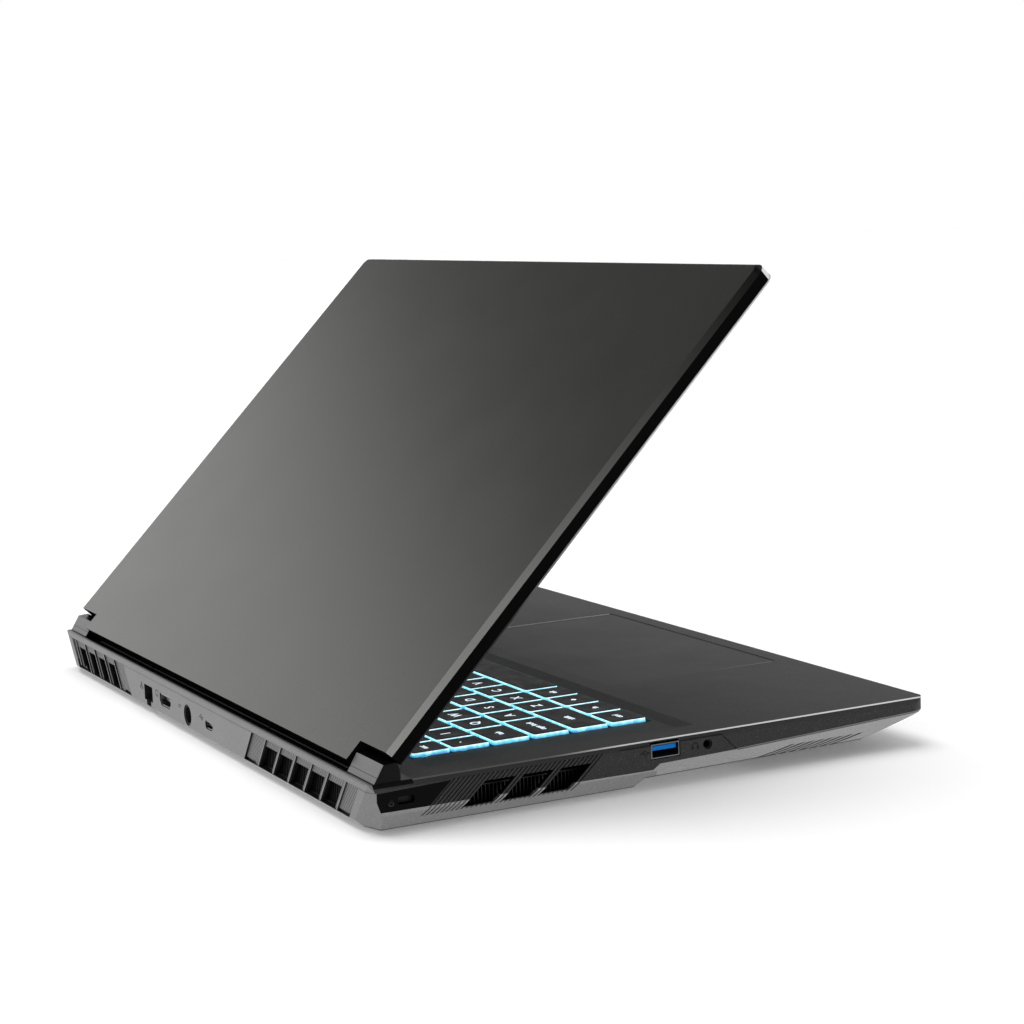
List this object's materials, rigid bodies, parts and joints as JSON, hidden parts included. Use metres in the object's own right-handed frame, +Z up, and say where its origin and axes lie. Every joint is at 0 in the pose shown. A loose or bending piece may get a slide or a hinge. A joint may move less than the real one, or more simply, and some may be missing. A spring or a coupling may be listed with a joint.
{
  "type": "laptop computer",
  "caption": "Large dark grey laptop with a metal lid on corner hinges, back-lit keyboard with number pad, touchpad, rear and side vents, and rear ports.",
  "frame": {"origin": "on the table, under the middle of the base", "axes": "+X towards the user's right, +Y towards the rear edge with the hinges and ports, +Z up"},
  "size_m": [0.4024, 0.264, 0.2099],
  "materials": {
    "shell_paint": "satin metallic paint on moulded plastic",
    "deck_metal": "black anodised, fine blasted",
    "side_plastic": "finely textured",
    "hinge_cap_paint": "satin paint",
    "hinge_steel": "stamped",
    "keyboard_steel": "matt black",
    "backlight": "frosted light guide",
    "fan_plastic": "moulded",
    "copper": "bare copper",
    "fin_aluminium": "dark coated fins",
    "circuit_board": "solder mask",
    "battery_wrap": "film wrapped",
    "speaker_plastic": "moulded",
    "port_steel": "nickel plated",
    "port_plastic": "moulded",
    "rubber": "matt",
    "screw_steel": "black oxide",
    "lid_metal": "grey anodised, fine blasted",
    "bezel_plastic": "finely textured",
    "screen_glass": "matt, switched off",
    "touchpad_surface": "smooth matt film",
    "button_metal": "satin",
    "key_plastic": "matt top over a lit translucent skirt"
  },
  "bodies": {
    "base": {"bottom_shell": "shell_paint", "palmrest_cover": "deck_metal", "side_trim_left": "side_plastic", "side_trim_right": "side_plastic", "rear_panel": "shell_paint", "rear_port_plate": "shell_paint", "rear_strip": "shell_paint", "hinge_cap_left": "hinge_cap_paint", "hinge_cap_right": "hinge_cap_paint", "hinge_bracket_left": "hinge_steel", "hinge_bracket_right": "hinge_steel", "keyboard_plate": "keyboard_steel", "backlight_sheet": "backlight", "fan_housing_left": "fan_plastic", "fan_housing_right": "fan_plastic", "heat_pipes": "copper", "cold_plates": "copper", "heatsink_rear_left": "fin_aluminium", "heatsink_rear_right": "fin_aluminium", "heatsink_side_left": "fin_aluminium", "heatsink_side_right": "fin_aluminium", "mainboard": "circuit_board", "memory_modules": "circuit_board", "ssd_module": "circuit_board", "battery": "battery_wrap", "speaker_left": "speaker_plastic", "speaker_right": "speaker_plastic", "usb_port_left": "port_steel", "usb_port_right": "port_steel", "audio_jack": "port_plastic", "ethernet_jack": "port_plastic", "hdmi_port": "port_steel", "dc_in_jack": "port_plastic", "usb_c_port": "port_steel", "rubber_feet": "rubber", "case_screws": "screw_steel"},
    "lid": {"lid_cover": "lid_metal", "screen_bezel": "bezel_plastic", "lcd_panel": "screen_glass", "webcam_module": "circuit_board", "lid_bumpers": "rubber", "hinge_arm_left": "hinge_steel", "hinge_arm_right": "hinge_steel"},
    "fan_rotor_left": {"fan_rotor_left": "fan_plastic"},
    "fan_rotor_right": {"fan_rotor_right": "fan_plastic"},
    "touchpad": {"touchpad": "touchpad_surface"},
    "power_button": {"power_button": "button_metal"},
    "key_control_left": {"key_control_left": "key_plastic"},
    "key_space": {"key_space": "key_plastic"},
    "key_shift_left": {"key_shift_left": "key_plastic"},
    "key_enter": {"key_enter": "key_plastic"},
    "key_tab": {"key_tab": "key_plastic"},
    "key_backspace": {"key_backspace": "key_plastic"},
    "key_escape": {"key_escape": "key_plastic"},
    "bottom_row_keys": {"bottom_row_keys": "key_plastic"},
    "lower_row_keys": {"lower_row_keys": "key_plastic"},
    "home_row_keys": {"home_row_keys": "key_plastic"},
    "upper_row_keys": {"upper_row_keys": "key_plastic"},
    "number_row_keys": {"number_row_keys": "key_plastic"},
    "function_row_keys": {"function_row_keys": "key_plastic"}
  },
  "joints": [
    {"name": "lid_hinge", "type": "hinge", "parent": "base", "child": "lid", "pos_m": [0, 0.1233, 0.0239], "axis": [-1, 0, 0], "range_deg": [-45.6, 84.4]},
    {"name": "fan_spin_left", "type": "hinge", "parent": "base", "child": "fan_rotor_left", "pos_m": [-0.132, 0.066, 0.0095], "axis": [0, 0, 1], "continuous": true},
    {"name": "fan_spin_right", "type": "hinge", "parent": "base", "child": "fan_rotor_right", "pos_m": [0.14, 0.066, 0.0095], "axis": [0, 0, 1], "continuous": true},
    {"name": "touchpad_click", "type": "hinge", "parent": "base", "child": "touchpad", "pos_m": [-0.02085, -0.032, 0.0197], "axis": [1, 0, 0], "range_deg": [0, 0.35], "stiffness_Nm_per_rad": 26, "springref_deg": -0.23},
    {"name": "power_button_press", "type": "slide", "parent": "base", "child": "power_button", "axis": [0, 0, -1], "range_m": [0, 0.0005], "stiffness_N_per_m": 2500, "springref_m": -0.0001},
    {"name": "key_control_left_press", "type": "slide", "parent": "base", "child": "key_control_left", "axis": [0, 0, -1], "range_m": [0, 0.0014], "stiffness_N_per_m": 400, "springref_m": -0.0003},
    {"name": "key_space_press", "type": "slide", "parent": "base", "child": "key_space", "axis": [0, 0, -1], "range_m": [0, 0.0014], "stiffness_N_per_m": 400, "springref_m": -0.0003},
    {"name": "key_shift_left_press", "type": "slide", "parent": "base", "child": "key_shift_left", "axis": [0, 0, -1], "range_m": [0, 0.0014], "stiffness_N_per_m": 400, "springref_m": -0.0003},
    {"name": "key_enter_press", "type": "slide", "parent": "base", "child": "key_enter", "axis": [0, 0, -1], "range_m": [0, 0.0014], "stiffness_N_per_m": 400, "springref_m": -0.0003},
    {"name": "key_tab_press", "type": "slide", "parent": "base", "child": "key_tab", "axis": [0, 0, -1], "range_m": [0, 0.0014], "stiffness_N_per_m": 400, "springref_m": -0.0003},
    {"name": "key_backspace_press", "type": "slide", "parent": "base", "child": "key_backspace", "axis": [0, 0, -1], "range_m": [0, 0.0014], "stiffness_N_per_m": 400, "springref_m": -0.0003},
    {"name": "key_escape_press", "type": "slide", "parent": "base", "child": "key_escape", "axis": [0, 0, -1], "range_m": [0, 0.0014], "stiffness_N_per_m": 400, "springref_m": -0.0003},
    {"name": "bottom_row_keys_press", "type": "slide", "parent": "base", "child": "bottom_row_keys", "axis": [0, 0, -1], "range_m": [0, 0.0014], "stiffness_N_per_m": 4800, "springref_m": -0.0003},
    {"name": "lower_row_keys_press", "type": "slide", "parent": "base", "child": "lower_row_keys", "axis": [0, 0, -1], "range_m": [0, 0.0014], "stiffness_N_per_m": 6000, "springref_m": -0.0003},
    {"name": "home_row_keys_press", "type": "slide", "parent": "base", "child": "home_row_keys", "axis": [0, 0, -1], "range_m": [0, 0.0014], "stiffness_N_per_m": 6400, "springref_m": -0.0003},
    {"name": "upper_row_keys_press", "type": "slide", "parent": "base", "child": "upper_row_keys", "axis": [0, 0, -1], "range_m": [0, 0.0014], "stiffness_N_per_m": 6400, "springref_m": -0.0003},
    {"name": "number_row_keys_press", "type": "slide", "parent": "base", "child": "number_row_keys", "axis": [0, 0, -1], "range_m": [0, 0.0014], "stiffness_N_per_m": 6800, "springref_m": -0.0003},
    {"name": "function_row_keys_press", "type": "slide", "parent": "base", "child": "function_row_keys", "axis": [0, 0, -1], "range_m": [0, 0.0014], "stiffness_N_per_m": 7200, "springref_m": -0.0003}
  ]
}
